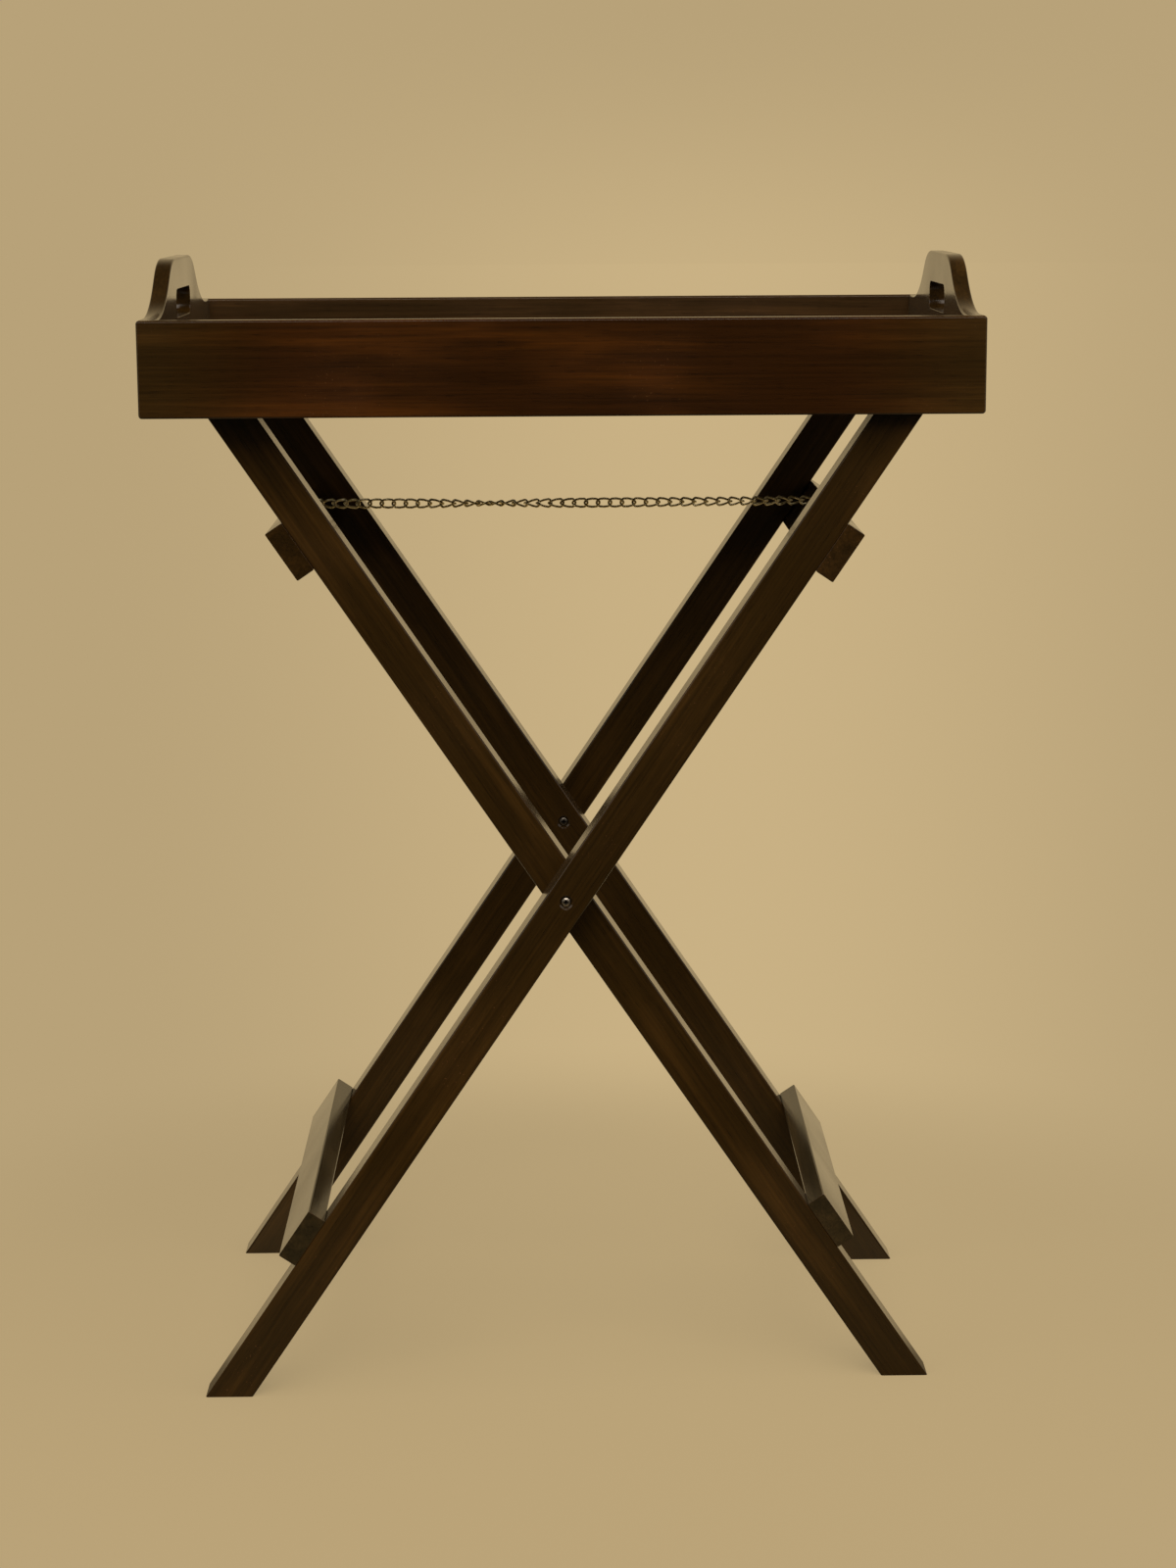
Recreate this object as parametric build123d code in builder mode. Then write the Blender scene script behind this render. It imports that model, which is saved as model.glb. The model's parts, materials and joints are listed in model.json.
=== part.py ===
from build123d import *
import os
from math import atan2, cos, pi, radians, sin, tan

# Butler tray table: a lift-off tray on a folding cross-legged stand that a chain holds open.
# Millimetres, +Z up, front at -Y. The origin is on the floor, under the pivots.

# Tray
TRAY_WIDTH = 610.0
TRAY_DEPTH = 410.0
RAIL_HEIGHT = 70.0
RAIL_THICKNESS = 12.0
END_THICKNESS = 12.0
RAIL_CORNER_ROUND = 2.5
RAIL_ARRIS = 1.2

# Handles in the end boards
HANDLE_RISE = 40.0
HANDLE_TOP_LENGTH = 141.0
SHOULDER_RUN = 58.5
SHOULDER_HOLLOW_RADIUS = 135.0
SHOULDER_CROWN_RADIUS = 65.0
HAND_HOLE_LENGTH = 96.0
HAND_HOLE_HEIGHT = 21.5
HAND_HOLE_CORNER_RADIUS = 7.5
GRIP_HEIGHT = 23.5
HANDLE_ROUND = 1.8

# Base panel, whose lip sits up into rebates in the four boards
BASE_THICKNESS = 9.0
LIP_THICKNESS = 5.0
LIP_WIDTH = 6.0
BASE_CLEARANCE = 0.2

# Stand
SEAT_HEIGHT = 752.0
PIVOT_HEIGHT = 388.0
LEG_ANGLE = 34.0
LEG_WIDTH = 30.0
LEG_THICKNESS = 30.0
LEG_ARRIS_ROUND = 1.5
STAND_DEPTH = 364.0

# Stretchers, tenoned flat against the leg edges, placed from the tray's seat and from the floor
STRETCHER_WIDTH = 42.0
STRETCHER_THICKNESS = 15.0
UPPER_STRETCHER_DROP = 90.4
LOWER_STRETCHER_RISE = 114.4
STRETCHER_ARRIS_ROUND = 1.0

# Loose tenons in the glued joints
TRAY_TENON_WIDTH = 34.0
TRAY_TENON_THICKNESS = 5.0
TRAY_TENON_IN_RAIL = 7.0
TRAY_TENON_IN_END = 20.0
STAND_TENON_WIDTH = 24.0
STAND_TENON_THICKNESS = 8.0
STAND_TENON_IN_STRETCHER = 10.0
STAND_TENON_IN_LEG = 18.0
TENON_END_GAP = 0.8
GLUE_LINE = 0.03

# Pivot screws and washers
SCREW_SHANK_DIAMETER = 4.2
SCREW_GRIP_LENGTH = 20.0
SCREW_HEAD_SINK = 1.6
SCREW_RECESS_WIDTH = 1.1
SCREW_RECESS_LENGTH = 4.6
SCREW_RECESS_DEPTH = 1.4
COUNTERSINK_DIAMETER = 10.8
COUNTERSINK_ANGLE = 90.0
RUNNING_CLEARANCE = 0.05
HEAD_CLEARANCE = 0.1
WASHER_THICKNESS = 1.0
WASHER_DIAMETER = 16.0

# Screw eyes
EYE_WIRE_DIAMETER = 2.0
EYE_RING_RADIUS = 3.8
EYE_NECK = 1.2
EYE_SHANK_IN_WOOD = 11.0
EYE_BELOW_EDGE = 5.0
EYE_STATIONS = 16

# Chain of twisted links
LINK_PITCH = 9.4
LINK_WIDTH = 8.3
LINK_WIRE_DIAMETER = 1.8
LINK_PLAY = 0.5
LINK_END_TILT = 45.0
CHAIN_SAG = 1.0
CHAIN_TURN = 270.0
LINK_STATIONS = 10
WIRE_SIDES = 5

# Signs for the two frames, the two ends of the stand and the two levels of stretchers
OUTER, INNER = 1, -1
FRONT, REAR = -1, 1
UPPER, LOWER = 1, -1
LEFT, RIGHT = -1, 1

# Sizes that follow from the driving dimensions
LEAN = radians(LEG_ANGLE)
INNER_WIDTH = TRAY_WIDTH - 2 * END_THICKNESS
INNER_DEPTH = TRAY_DEPTH - 2 * RAIL_THICKNESS
RAIL_TOP = SEAT_HEIGHT + RAIL_HEIGHT
HANDLE_TOP = RAIL_TOP + HANDLE_RISE
INNER_STAND_DEPTH = STAND_DEPTH - 2 * (LEG_THICKNESS + WASHER_THICKNESS)
EYE_STAND_OFF = EYE_NECK + EYE_WIRE_DIAMETER / 2 + EYE_RING_RADIUS

os.makedirs("parts", exist_ok=True)


def save(piece, name):
    """Label a finished piece and write its file."""
    piece.label = name
    export_step(piece, f"parts/{name}.step")


# Places on the stand


def leg_direction(frame):
    """Unit vector up a frame's legs: the outer frame leans to the right, the inner to the left."""
    return Vector(frame * sin(LEAN), 0, cos(LEAN))


def leg_normal(frame):
    """Unit vector out of the upper edge of a frame's legs."""
    return Vector(-frame * cos(LEAN), 0, sin(LEAN))


def on_frame(frame, along, out, y):
    """Point up the leg from the pivot and out from the leg's middle line, at depth y."""
    return Vector(0, y, PIVOT_HEIGHT) + leg_direction(frame) * along + leg_normal(frame) * out


def frame_depth(frame):
    """Depth over the outer faces of a frame's legs."""
    return STAND_DEPTH if frame == OUTER else INNER_STAND_DEPTH


def leg_middle(frame, end):
    """Depth at the middle of a leg's thickness."""
    return end * (frame_depth(frame) - LEG_THICKNESS) / 2


def leg_front_face(frame, end):
    """Depth of the face of a leg that looks to the front."""
    return leg_middle(frame, end) - LEG_THICKNESS / 2


def head_frame(end):
    """The pivot screws are driven from the front: each head is in the nearer leg of its pair."""
    return OUTER if end == FRONT else INNER


def pivot_plane(y):
    """Plane across the pivot axis at depth y, facing the front."""
    return Plane((0, y, PIVOT_HEIGHT), x_dir=(1, 0, 0), z_dir=(0, -1, 0))


def stretcher_along(level):
    """How far up the legs from the pivot the middle of a stretcher is."""
    height = SEAT_HEIGHT - UPPER_STRETCHER_DROP if level == UPPER else LOWER_STRETCHER_RISE
    return (height - PIVOT_HEIGHT) / cos(LEAN)


def stand_joint_planes(frame, level, ends=(FRONT, REAR)):
    """Planes on the leg edges at each joint, facing out of the leg into the stretcher."""
    side = -level
    planes = []
    for end in ends:
        origin = on_frame(frame, stretcher_along(level), side * LEG_WIDTH / 2, leg_middle(frame, end))
        planes.append(Plane(origin, x_dir=leg_direction(frame), z_dir=leg_normal(frame) * side))
    return planes


def tray_joint_planes(sides=(LEFT, RIGHT), ends=(FRONT, REAR)):
    """Planes on the end boards' end grain at each corner, facing the rail."""
    planes = []
    height = SEAT_HEIGHT + RAIL_HEIGHT / 2
    for side in sides:
        x = side * (TRAY_WIDTH - END_THICKNESS) / 2
        for end in ends:
            planes.append(Plane((x, end * INNER_DEPTH / 2, height), x_dir=(0, 0, 1), z_dir=(0, end, 0)))
    return planes


def build_tenons(planes, width, thickness, below, above):
    """Loose tenons through the planes, seated on the bottoms of the mortises below them."""
    with BuildPart() as tenons:
        with BuildSketch(*[plane.offset(-below) for plane in planes]):
            Rectangle(width, thickness)
        extrude(amount=below + above - TENON_END_GAP)
    return tenons.part


def cut_mortises(planes, width, thickness, depth):
    """Mortises from the planes into the piece being built."""
    with BuildSketch(*planes) as mouths:
        Rectangle(width + 2 * GLUE_LINE, thickness + 2 * GLUE_LINE)
    extrude(mouths.sketch, amount=depth, mode=Mode.SUBTRACT)


# Tray


def build_rail(end):
    """Long rail over the full width, rebated below for the base panel's lip."""
    middle = end * (TRAY_DEPTH - RAIL_THICKNESS) / 2
    with BuildPart() as rail:
        with BuildSketch(Plane.XZ.offset(-middle)):
            with Locations((0, SEAT_HEIGHT + RAIL_HEIGHT / 2)):
                Rectangle(TRAY_WIDTH, RAIL_HEIGHT)
        extrude(amount=RAIL_THICKNESS / 2, both=True)
        fillet(rail.edges().filter_by(Axis.Y), radius=RAIL_CORNER_ROUND)
        inner_face, outer_face = rail.faces().filter_by(Axis.Y).sort_by(lambda face: end * face.center().Y)
        top_inner_edge = inner_face.edges().filter_by(Axis.X).sort_by(Axis.Z)[-1]
        chamfer(outer_face.edges() + [top_inner_edge], length=RAIL_ARRIS)
        with BuildSketch(Plane.XY.offset(SEAT_HEIGHT)):
            Rectangle(INNER_WIDTH + 2 * LIP_WIDTH, INNER_DEPTH + 2 * LIP_WIDTH)
        extrude(amount=LIP_THICKNESS, mode=Mode.SUBTRACT)
        joints = tray_joint_planes(ends=(end,))
        cut_mortises(joints, TRAY_TENON_WIDTH, TRAY_TENON_THICKNESS, TRAY_TENON_IN_RAIL)
    return rail.part


def build_end_board(side):
    """End board between the rails, with its raised handle, ogee shoulders and hand hole."""
    shoulder_foot = HANDLE_TOP_LENGTH / 2 + SHOULDER_RUN
    with BuildPart() as board:
        with BuildSketch(Plane.YZ.offset(side * (TRAY_WIDTH - END_THICKNESS) / 2)) as outline:
            with BuildLine():
                Polyline(
                    (INNER_DEPTH / 2, SEAT_HEIGHT),
                    (INNER_DEPTH / 2, RAIL_TOP),
                    (shoulder_foot, RAIL_TOP),
                    (HANDLE_TOP_LENGTH / 2, HANDLE_TOP),
                    (-HANDLE_TOP_LENGTH / 2, HANDLE_TOP),
                    (-shoulder_foot, RAIL_TOP),
                    (-INNER_DEPTH / 2, RAIL_TOP),
                    (-INNER_DEPTH / 2, SEAT_HEIGHT),
                    close=True,
                )
            make_face()
            fillet(outline.vertices().group_by(Axis.Y)[1].sort_by(Axis.X)[1:-1], SHOULDER_HOLLOW_RADIUS)
            fillet(outline.vertices().group_by(Axis.Y)[-1], SHOULDER_CROWN_RADIUS)
            with Locations((0, HANDLE_TOP - GRIP_HEIGHT - HAND_HOLE_HEIGHT / 2)):
                RectangleRounded(
                    HAND_HOLE_LENGTH,
                    HAND_HOLE_HEIGHT,
                    HAND_HOLE_CORNER_RADIUS,
                    mode=Mode.SUBTRACT,
                )
        extrude(amount=END_THICKNESS / 2, both=True)
        top_edges = ShapeList()
        for face in board.faces().filter_by(Axis.X):
            rim = face.outer_wire().edges()
            top_edges += rim.filter_by(lambda edge: edge.center().Z > RAIL_TOP - HANDLE_ROUND)
        fillet(top_edges, radius=HANDLE_ROUND)
        with BuildSketch(Plane.XY.offset(SEAT_HEIGHT)):
            Rectangle(INNER_WIDTH + 2 * LIP_WIDTH, INNER_DEPTH + 2 * LIP_WIDTH)
        extrude(amount=LIP_THICKNESS, mode=Mode.SUBTRACT)
        joints = tray_joint_planes(sides=(side,))
        cut_mortises(joints, TRAY_TENON_WIDTH, TRAY_TENON_THICKNESS, -TRAY_TENON_IN_END)
    return board.part


def build_base_panel():
    """Base panel: a thin lip all round, and a field that fills the floor between the boards."""
    with BuildPart() as panel:
        with BuildSketch(Plane.XY.offset(SEAT_HEIGHT)):
            Rectangle(
                INNER_WIDTH + 2 * LIP_WIDTH - 2 * BASE_CLEARANCE,
                INNER_DEPTH + 2 * LIP_WIDTH - 2 * BASE_CLEARANCE,
            )
        extrude(amount=LIP_THICKNESS)
        with BuildSketch(Plane.XY.offset(SEAT_HEIGHT)):
            Rectangle(INNER_WIDTH - 2 * BASE_CLEARANCE, INNER_DEPTH - 2 * BASE_CLEARANCE)
        extrude(amount=BASE_THICKNESS)
    return panel.part


save(build_rail(FRONT), "tray_front_rail")
save(build_rail(REAR), "tray_rear_rail")
save(build_end_board(LEFT), "tray_left_end")
save(build_end_board(RIGHT), "tray_right_end")
save(build_base_panel(), "tray_base_panel")
save(
    build_tenons(
        tray_joint_planes(),
        TRAY_TENON_WIDTH,
        TRAY_TENON_THICKNESS,
        TRAY_TENON_IN_END,
        TRAY_TENON_IN_RAIL,
    ),
    "tray_corner_tenons",
)


# Stand


def build_leg(frame, end):
    """Leg cut level at floor and tray, bored for its pivot screw and mortised for its stretchers."""
    foot_x = -frame * PIVOT_HEIGHT * tan(LEAN)
    top_x = frame * (SEAT_HEIGHT - PIVOT_HEIGHT) * tan(LEAN)
    half_level = LEG_WIDTH / 2 / cos(LEAN)
    with BuildPart() as leg:
        with BuildSketch(Plane.XZ.offset(-leg_middle(frame, end))):
            with BuildLine():
                Polyline(
                    (foot_x - half_level, 0),
                    (foot_x + half_level, 0),
                    (top_x + half_level, SEAT_HEIGHT),
                    (top_x - half_level, SEAT_HEIGHT),
                    close=True,
                )
            make_face()
        extrude(amount=LEG_THICKNESS / 2, both=True)
        fillet(leg.edges().filter_by(Axis((0, 0, 0), leg_direction(frame))), radius=LEG_ARRIS_ROUND)
        with Locations(pivot_plane(leg_front_face(frame, end))):
            if frame == head_frame(end):
                CounterSinkHole(
                    SCREW_SHANK_DIAMETER / 2 + RUNNING_CLEARANCE,
                    COUNTERSINK_DIAMETER / 2,
                    counter_sink_angle=COUNTERSINK_ANGLE,
                )
            else:
                Hole(SCREW_SHANK_DIAMETER / 2 + GLUE_LINE, depth=SCREW_GRIP_LENGTH)
        for level in (UPPER, LOWER):
            joints = stand_joint_planes(frame, level, ends=(end,))
            cut_mortises(joints, STAND_TENON_WIDTH, STAND_TENON_THICKNESS, -STAND_TENON_IN_LEG)
    return leg.part


def eye_plane(frame):
    """Plane on the inner face of the upper stretcher where the screw eye goes in."""
    along = stretcher_along(UPPER) + STRETCHER_WIDTH / 2 - EYE_BELOW_EDGE
    origin = on_frame(frame, along, -LEG_WIDTH / 2, 0)
    return Plane(origin, x_dir=leg_direction(frame), z_dir=leg_normal(frame))


def build_stretcher(frame, level):
    """Board across the leg edges, flush with the outer faces of the legs."""
    middle_out = -level * (LEG_WIDTH + STRETCHER_THICKNESS) / 2
    middle = on_frame(frame, stretcher_along(level), middle_out, 0)
    with BuildPart() as stretcher:
        with BuildSketch(Plane(middle, x_dir=leg_direction(frame), z_dir=(0, -1, 0))):
            Rectangle(STRETCHER_WIDTH, STRETCHER_THICKNESS)
        extrude(amount=frame_depth(frame) / 2, both=True)
        fillet(stretcher.edges().filter_by(Axis.Y), radius=STRETCHER_ARRIS_ROUND)
        joints = stand_joint_planes(frame, level)
        cut_mortises(joints, STAND_TENON_WIDTH, STAND_TENON_THICKNESS, STAND_TENON_IN_STRETCHER)
        if level == UPPER:
            with BuildSketch(eye_plane(frame)):
                RegularPolygon(EYE_WIRE_DIAMETER / 2 + GLUE_LINE, WIRE_SIDES)
            extrude(amount=-EYE_SHANK_IN_WOOD, mode=Mode.SUBTRACT)
    return stretcher.part


for frame, frame_name in ((OUTER, "outer"), (INNER, "inner")):
    for end, end_name in ((FRONT, "front"), (REAR, "rear")):
        save(build_leg(frame, end), f"{frame_name}_leg_{end_name}")
    for level, level_name in ((UPPER, "upper"), (LOWER, "lower")):
        save(build_stretcher(frame, level), f"{frame_name}_{level_name}_stretcher")
    save(
        build_tenons(
            stand_joint_planes(frame, UPPER) + stand_joint_planes(frame, LOWER),
            STAND_TENON_WIDTH,
            STAND_TENON_THICKNESS,
            STAND_TENON_IN_LEG,
            STAND_TENON_IN_STRETCHER,
        ),
        f"{frame_name}_stretcher_tenons",
    )


# Pivots


def build_pivot_screw(end):
    """Countersunk cross-head screw: turns in the leg at its head, gripped by the leg behind."""
    face = leg_front_face(head_frame(end), end)
    shank = SCREW_SHANK_DIAMETER / 2
    slope = tan(radians(COUNTERSINK_ANGLE / 2))
    head = COUNTERSINK_DIAMETER / 2 - SCREW_HEAD_SINK * slope - HEAD_CLEARANCE
    tip = LEG_THICKNESS + WASHER_THICKNESS + SCREW_GRIP_LENGTH
    with BuildPart() as screw:
        with BuildSketch(Plane((0, face, PIVOT_HEIGHT), x_dir=(0, 1, 0), z_dir=(1, 0, 0))):
            with BuildLine():
                Polyline(
                    (SCREW_HEAD_SINK, 0),
                    (SCREW_HEAD_SINK, head),
                    (SCREW_HEAD_SINK + (head - shank) / slope, shank),
                    (tip, shank),
                    (tip, 0),
                    close=True,
                )
            make_face()
        revolve(axis=Axis((0, 0, PIVOT_HEIGHT), (0, 1, 0)))
        with BuildSketch(pivot_plane(face + SCREW_HEAD_SINK)):
            Rectangle(SCREW_RECESS_LENGTH, SCREW_RECESS_WIDTH)
            Rectangle(SCREW_RECESS_WIDTH, SCREW_RECESS_LENGTH)
        extrude(amount=-SCREW_RECESS_DEPTH, mode=Mode.SUBTRACT)
    return screw.part


def build_pivot_washer(end):
    """Washer that keeps the two crossing legs apart."""
    with BuildPart() as washer:
        with BuildSketch(pivot_plane(leg_front_face(head_frame(end), end) + LEG_THICKNESS)):
            Circle(WASHER_DIAMETER / 2)
            Circle(SCREW_SHANK_DIAMETER / 2 + RUNNING_CLEARANCE, mode=Mode.SUBTRACT)
        extrude(amount=-WASHER_THICKNESS)
    return washer.part


for end, end_name in ((FRONT, "front"), (REAR, "rear")):
    save(build_pivot_screw(end), f"pivot_screw_{end_name}")
    save(build_pivot_washer(end), f"pivot_washer_{end_name}")


# Chain


def wire_loop(sections, diameter):
    """Closed loop of wire in flat facets, through planes that lie across the wire."""
    turns = [2 * pi * side / WIRE_SIDES for side in range(WIRE_SIDES)]
    rim = [(diameter / 2 * cos(turn), diameter / 2 * sin(turn), 0) for turn in turns]
    rings = [[section.from_local_coords(point) for point in rim] for section in sections]
    facets = []
    for near, far in zip(rings, rings[1:] + rings[:1]):
        for side in range(WIRE_SIDES):
            following = (side + 1) % WIRE_SIDES
            facets.append(Face(Wire.make_polygon([near[side], near[following], far[following]])))
            facets.append(Face(Wire.make_polygon([near[side], far[following], far[side]])))
    return Solid(Shell(facets))


def eye_section(frame, turn):
    """Plane across the wire of a screw eye's ring, counted from the end of its shank."""
    seat = eye_plane(frame)
    outward = seat.z_dir * -cos(turn) + seat.x_dir * sin(turn)
    center = seat.offset(EYE_STAND_OFF).origin
    return Plane(center + outward * EYE_RING_RADIUS, x_dir=outward, z_dir=outward.cross(seat.y_dir))


def build_eye(frame):
    """Screw eye: a ring that stands off the stretcher on a shank driven into it."""
    turns = [2 * pi * station / EYE_STATIONS for station in range(EYE_STATIONS)]
    with BuildPart() as eye:
        add(wire_loop([eye_section(frame, turn) for turn in turns], EYE_WIRE_DIAMETER))
        with BuildSketch(eye_plane(frame).offset(-EYE_SHANK_IN_WOOD)):
            RegularPolygon(EYE_WIRE_DIAMETER / 2, WIRE_SIDES)
        extrude(amount=EYE_SHANK_IN_WOOD + EYE_STAND_OFF - EYE_RING_RADIUS)
    return eye.part


EYE_CENTER = eye_plane(OUTER).offset(EYE_STAND_OFF).origin
CHAIN_REACH = EYE_CENTER.X - EYE_RING_RADIUS + EYE_WIRE_DIAMETER / 2 + LINK_PLAY / 2
LINKS_PER_HALF = round(CHAIN_REACH / LINK_PITCH)
FITTED_PITCH = CHAIN_REACH / LINKS_PER_HALF
LINK_HALF_LENGTH = (FITTED_PITCH + LINK_WIRE_DIAMETER + LINK_PLAY) / 2
LINK_HALF_WIDTH = (LINK_WIDTH - LINK_WIRE_DIAMETER) / 2
LINK_HALF_TWIST = LINK_HALF_WIDTH * tan(radians(LINK_END_TILT)) / 2


def link_section(turn):
    """Plane across a link's wire: an oval whose two ends are tilted opposite ways."""
    origin = Vector(
        LINK_HALF_LENGTH * cos(turn),
        LINK_HALF_WIDTH * sin(turn),
        LINK_HALF_TWIST * sin(2 * turn),
    )
    along = Vector(
        -LINK_HALF_LENGTH * sin(turn),
        LINK_HALF_WIDTH * cos(turn),
        2 * LINK_HALF_TWIST * cos(2 * turn),
    )
    across = along.cross(Vector(0, 0, 1))
    return Plane(origin, x_dir=across, z_dir=along)


def build_chain_half(side):
    """The twisted links from the middle of the chain to one screw eye."""
    turns = [2 * pi * station / LINK_STATIONS for station in range(LINK_STATIONS)]
    link = wire_loop([link_section(turn) for turn in turns], LINK_WIRE_DIAMETER)
    places = [link_plane(side * FITTED_PITCH * (count + 0.5)) for count in range(LINKS_PER_HALF)]
    with BuildPart() as chain:
        with Locations(*places):
            add(link)
    return chain.part


def link_plane(x):
    """Place of the link at x: the chain sags a little and turns over along its length."""
    share = x / EYE_CENTER.X
    height = EYE_CENTER.Z - CHAIN_SAG * (1 - share**2)
    slope = atan2(2 * CHAIN_SAG * share, EYE_CENTER.X)
    turned = LINK_END_TILT + CHAIN_TURN * sin(pi / 4 * (1 + share))
    along = Vector(cos(slope), 0, sin(slope))
    up = Vector(-sin(slope), 0, cos(slope))
    return Plane((x, 0, height), x_dir=along, z_dir=up.rotate(Axis((0, 0, 0), along), turned))


save(build_eye(INNER), "chain_eye_left")
save(build_eye(OUTER), "chain_eye_right")
save(build_chain_half(LEFT), "chain_left_half")
save(build_chain_half(RIGHT), "chain_right_half")
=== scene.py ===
import json
from math import atan2, radians

import bpy
from bpy.props import FloatProperty, FloatVectorProperty, IntProperty, PointerProperty
from mathutils import Euler, Matrix, Vector


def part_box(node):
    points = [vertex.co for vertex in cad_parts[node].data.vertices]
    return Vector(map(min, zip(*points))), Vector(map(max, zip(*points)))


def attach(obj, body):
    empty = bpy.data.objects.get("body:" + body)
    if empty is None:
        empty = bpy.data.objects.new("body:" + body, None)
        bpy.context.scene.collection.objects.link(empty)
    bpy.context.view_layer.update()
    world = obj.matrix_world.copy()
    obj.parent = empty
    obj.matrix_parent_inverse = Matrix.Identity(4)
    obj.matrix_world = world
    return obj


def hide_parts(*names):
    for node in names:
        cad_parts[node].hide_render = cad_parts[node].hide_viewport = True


bl_info = {
    "name": "Butler tray table",
    "version": (1, 0, 0),
    "blender": (4, 5, 0),
    "location": "View3D > Sidebar > Tray Table",
    "description": "Finishes the boards, chain and fittings of a butler tray table and sets its stage",
    "category": "Object",
}

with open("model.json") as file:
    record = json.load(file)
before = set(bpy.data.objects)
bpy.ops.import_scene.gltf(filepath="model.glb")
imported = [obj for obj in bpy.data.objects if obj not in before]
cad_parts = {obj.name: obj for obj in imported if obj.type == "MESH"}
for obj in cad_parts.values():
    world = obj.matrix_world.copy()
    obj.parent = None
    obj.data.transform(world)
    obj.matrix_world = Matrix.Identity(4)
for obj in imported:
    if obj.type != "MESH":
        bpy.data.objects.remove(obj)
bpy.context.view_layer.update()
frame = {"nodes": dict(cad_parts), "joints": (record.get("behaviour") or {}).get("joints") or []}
JOINTS = {joint["name"]: joint for joint in frame["joints"]}
EYE_RIGHT = Vector(JOINTS["chain_right_swing"]["pos_m"])
PIVOT = Vector(JOINTS["fold"]["pos_m"])

# How far the legs lean from upright.
LEG_LEAN = radians(34)

# Sizes of the patterns in the finishes, in metres.
STAIN_CLOUD = 0.11
PORE_LENGTH = 0.0125
PORE_WIDTH = 0.0005
DUST_SPACING = 0.0011
TARNISH_PATCH = 0.003
DRIVER_SCRATCH = 0.0005
OXIDE_PATCH = 0.002
RELIEF_HEIGHT = 0.00005

# How many times as long as wide the streaks in the stain and the lines of the grain are.
STREAK_STRETCH = 15
GRAIN_STRETCH = 60

# Distances from the tray's middle between which the red stain fades, in metres.
FADE_START = 0.19
FADE_END = 0.31

# Share of its brightness that the stain keeps on end grain, and that a pore takes from it.
END_GRAIN_SHADE = 0.8
PORE_SHADE = 0.25

# How much the clouds count beside the streaks, and the pores' depth beside the lines' height.
CLOUD_WEIGHT = 0.5
PORE_RELIEF = 0.4

# How far handling has polished and dulled the lacquer, in roughness.
POLISHED = 0.05
DULLED = 0.08

# Wear on a screw's head, in head radii: where the grime and painted shade round the recess give
# out, how far the driver's scratches push the oxide in, and where the oxide gives out with that
# push added.
GRIME_AND_SHADE_ENDS = (0.28, 0.4)
SCRATCH_PUSH = 0.4
OXIDE_ENDS = (1.08, 0.98)

# Facets of the round pieces.
LINK_SEGMENTS = 28
LINK_WIRE_SIDES = 12
EYE_SEGMENTS = 40
EYE_WIRE_SIDES = 16
HEAD_SIDES = 48
FLOOR_SIDES = 96

# Under 1, so that the chain turns over fastest left of its middle.
LAY_SKEW = 0.7

# Steps up a screw's crown: each inset in head radii, and each rise as a share of the crown.
CROWN_STEPS = ((0.12, 0.45), (0.2, 0.35), (0.2, 0.2))

# Width of the recess punch at its tip, as a share of its width at the top.
RECESS_TIP = 0.55

# The floor and the soft boxes, in metres, and the long side of the camera's sensor in millimetres.
FLOOR_RADIUS = 30.0
SOFT_BOX_SIZE = 2.4
SOFT_BOX_AIM = Vector((0, 0, 0.45))
FRONT_BOX = (0.0, -2.3, 2.7)
LEFT_BOX = (-2.2, -1.1, 2.1)
RIGHT_BOX = (2.2, -1.1, 2.1)
SENSOR = 36.0

# Distances from the table's middle between which the floor fades into the background, in metres,
# and how far it has faded already under the table.
FLOOR_FADE = (0.45, 0.85)
FADED_UNDER = 0.65

# Wash of light on the paper: its middle and half width as slopes from straight ahead, its strength,
# where it rises along Y on the floor, in metres, and how near the horizon it falls off.
WASH_MIDDLE = 0.05
WASH_HALF_WIDTH = 0.2
WASH_STRENGTH = 0.22
WASH_RISE = (-0.5, 0.7)
WASH_FALL = 0.05

# Share of the paper's glow that a reflection shows in front of the table and behind it, and the Y of
# the direction between which it changes, on the floor and in the background.
FRONT_GLOW = 0.1
BACK_GLOW = 1.15
FLOOR_TURN = (-0.35, 0.1)
BACKGROUND_TURN = (0.65, 0.98)

# Boards by their stain and the way their grain runs, as turns of the grain's long axis away from X.
BOARDS = {
    "front_rail": (
        "red",
        (0.0, 0.0, radians(180)),
        ("tray_front_rail",),
    ),
    # The rear rail and the base take the dull stain, a lighter, greyer copy of the brown with painted
    # light and haze in it.
    "long": (
        "dull",
        (0.0, 0.0, 0.0),
        ("tray_rear_rail", "tray_base_panel"),
    ),
    "cross": (
        "brown",
        (0.0, 0.0, radians(90)),
        (
            "tray_left_end",
            "tray_right_end",
            "outer_upper_stretcher",
            "inner_upper_stretcher",
            "tray_corner_tenons",
            "outer_stretcher_tenons",
            "inner_stretcher_tenons",
        ),
    ),
    # The lower stretchers take a greyer copy of the brown stain, with their grey sheen painted into
    # it.
    "low_cross": (
        "grey_painted_sheen",
        (0.0, 0.0, radians(90)),
        ("outer_lower_stretcher", "inner_lower_stretcher"),
    ),
    "outer_leg": (
        "brown",
        (0.0, LEG_LEAN - radians(90), 0.0),
        ("outer_leg_front", "outer_leg_rear"),
    ),
    "inner_leg": (
        "brown",
        (0.0, radians(90) - LEG_LEAN, 0.0),
        ("inner_leg_front", "inner_leg_rear"),
    ),
}


def linear(code):
    """Turn an sRGB hex colour into the linear values that Blender's shaders take."""
    parts = [int(code[place : place + 2], 16) / 255 for place in (1, 3, 5)]
    return tuple(
        part / 12.92 if part <= 0.04045 else ((part + 0.055) / 1.055) ** 2.4
        for part in parts
    )


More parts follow.
